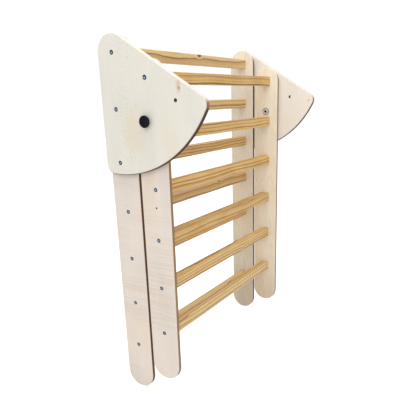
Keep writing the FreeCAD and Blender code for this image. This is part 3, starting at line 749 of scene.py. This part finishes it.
FLOOR_GLOW = 0.60
BACKDROP_GLOW = 1.05
AMBIENT = 0.62
TOP_POWER = 24.0
KEY_POWER = 32.0


def make_camera():
    """Camera at the height of a standing adult's hip, half to the right of the frame."""
    lens = bpy.data.cameras.new("camera")
    lens.lens = 42.595
    lens.sensor_width = 36.0
    lens.shift_x = -0.0660
    lens.shift_y = 0.1029
    lens.clip_start = 0.05
    lens.clip_end = 50.0
    camera = bpy.data.objects.new("camera", lens)
    camera.location = (0.7505, -1.3000, 0.8203)
    camera.rotation_euler = Euler((math.radians(72.221), math.radians(0.644), math.radians(28.724)))
    bpy.context.scene.collection.objects.link(camera)
    bpy.context.scene.camera = camera


def soft_box(name, place, aim, side, power):
    """Square lamp at a place, aimed at a point."""
    light = bpy.data.lights.new(name, "AREA")
    light.shape = "SQUARE"
    light.size = side
    light.energy = power
    lamp = bpy.data.objects.new(name, light)
    lamp.location = place
    lamp.rotation_euler = (Vector(aim) - Vector(place)).to_track_quat("-Z", "Y").to_euler()
    bpy.context.scene.collection.objects.link(lamp)


def make_studio():
    """Even surrounding light, two soft boxes and a pale floor."""
    world = bpy.data.worlds.new("studio")
    bpy.context.scene.world = world
    world.use_nodes = True
    bench = Bench(world.node_tree)
    back = world.node_tree.nodes["Background"]
    back.inputs["Color"].default_value = (1.0, 1.0, 1.0, 1.0)
    seen = bench.add("ShaderNodeLightPath", out=0)
    bench.feed(back.inputs["Strength"], bench.scaled(seen, 0.0, 1.0, AMBIENT, BACKDROP_GLOW))
    soft_box("top_light", (-0.1, -0.25, 2.5), (-0.1, 0.0, 0.5), 1.8, TOP_POWER)
    soft_box("key_light", (1.1, -2.7, 1.9), (0.0, 0.0, 0.5), 2.4, KEY_POWER)
    bpy.ops.mesh.primitive_circle_add(vertices=96, radius=9.0, fill_type="NGON", location=(0.0, 0.0, 0.0))
    floor = bpy.context.object
    floor.name = "floor"
    floor.data.materials.append(studio_floor())
    bpy.context.scene.view_settings.view_transform = "Standard"
    bpy.context.scene.view_settings.look = "None"


# ---------------------------------------------------------------- the frame

def lay_finish(node, material):
    """Gives a CAD node that stays in view its finish."""
    mesh = frame["nodes"][node].data
    mesh.materials.clear()
    mesh.materials.append(material)


make_camera()
make_studio()

# Knots and specks of the plate veneers, in mm.
PLATE_STAINS = [
    ("right", "outer", 79.0, 838.0, 9.0, 17.0, 0.55, "CDAE8E"),
    ("right", "outer", 81.0, 833.0, 2.8, 3.5, 0.8, "A07450"),
    ("right", "outer", -59.4, 928.1, 1.6, 3.0, 0.6, "9A7C68"),
    ("right", "outer", -63.4, 903.4, 1.4, 6.0, 0.4, "A88F7C"),
    ("right", "outer", -58.0, 735.0, 46.0, 75.0, 0.28, "D9C19B"),
    ("left", "inner", 136.7, 794.8, 4.0, 4.5, 0.6, "B08A6C"),
]
LOCK_HOLE_RADIUS = 4.5
PEG_HOLE_RADIUS = 2.25
PLATE_PLIES = 11
PLATE_ARCH = (-88.0, 62.0)

# The open lock hole lies as far below the pivot as the bolt does, turned by the whole swing.
hinge = frame["record"]["behaviour"]["joints"][0]
pivot_x, _, pivot_z = hinge["pos_m"]
swing = math.radians(hinge["range_deg"][1])
cap_low, cap_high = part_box("lock_cap_right")
cap_drop = pivot_z - (cap_low.z + cap_high.z) / 2
open_hole = ((pivot_x + cap_drop * math.sin(swing)) / MM, (pivot_z - cap_drop * math.cos(swing)) / MM,
             LOCK_HOLE_RADIUS, 0.0, "8E6B52", "140D0A")
pegs = [mount for mount in frame["record"]["mounts"] if mount["name"] == "peg_hole_right"]
peg_x, _, peg_z = pegs[0]["pos_m"]
peg_hole = (peg_x / MM, peg_z / MM, PEG_HOLE_RADIUS, 0.3, "4A3222", "4A3222")

ply_a = birch_plywood("birch_ply_a", "upright_a_right", PLANK_PLIES, "E3D8CD", "EDE4D3", 0.30,
                      gap_shade=0.7)
ply_b = birch_plywood("birch_ply_b", "upright_b_right", PLANK_PLIES, "E3D8CD", "F0E5D0", 0.30,
                      holes=[peg_hole])
ply_plate = birch_plywood("birch_ply_plate", "hinge_plate_right", PLATE_PLIES, "E2DED3", "ECE4D8", 0.04,
                          PLATE_ARCH, PLATE_STAINS, [open_hole])
for end in ("right", "left"):
    lay_finish(f"upright_a_{end}", ply_a)
    lay_finish(f"upright_b_{end}", ply_b)
    lay_finish(f"hinge_plate_{end}", ply_plate)

pine = oiled_pine()
bar_rows = bar_row_maker()
make_rungs("a", FIRST_BAR_A, HEARTS_A, bar_rows, pine)
make_rungs("b", FIRST_BAR_B, HEARTS_B, bar_rows, pine)

zinc = plated_steel("zinc_steel", "BDD0E4", "86A0BE", "0A182A", 0.26)
nickel = plated_steel("nickel_steel", "F2F3F4", "D6D8DC", "34302E", 0.34)
black = moulded_plastic()
turned = turned_row_maker()
for end in ("right", "left"):
    make_screws(f"screws_plate_{end}", "ladder_a", f"plate_screws_{end}", 3, turned, zinc)
    make_screws(f"screws_a_{end}", "ladder_a", f"rung_screws_a_{end}", 4, turned, zinc)
    make_screws(f"screws_b_{end}", "ladder_b", f"rung_screws_b_{end}", 5, turned, zinc)
    make_screws(f"screw_pivot_{end}", "ladder_b", f"pivot_screw_{end}", 1, turned, zinc)
    make_turned(f"washer_{end}", "ladder_b", "zinc_steel", f"pivot_washer_{end}",
                washer_section(WASHER_THICKNESS), 48, NO_THREAD, turned, zinc)
    make_turned(f"cap_{end}", f"lock_bolt_{end}", "black_plastic", f"lock_cap_{end}",
                cap_section(), 72, NO_THREAD, turned, black)
    stud_low, stud_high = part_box(f"lock_stud_{end}")
    make_turned(f"stud_{end}", f"lock_bolt_{end}", "zinc_steel", f"lock_stud_{end}",
                stud_section((stud_high.y - stud_low.y) / MM), 40, M8_PITCH, turned, zinc)
    make_turned(f"nut_{end}", "ladder_b", "nickel_steel", f"tee_nut_{end}",
                nut_section(TEE_NUT_LENGTH), 48, M8_PITCH, turned, nickel, outer=False)
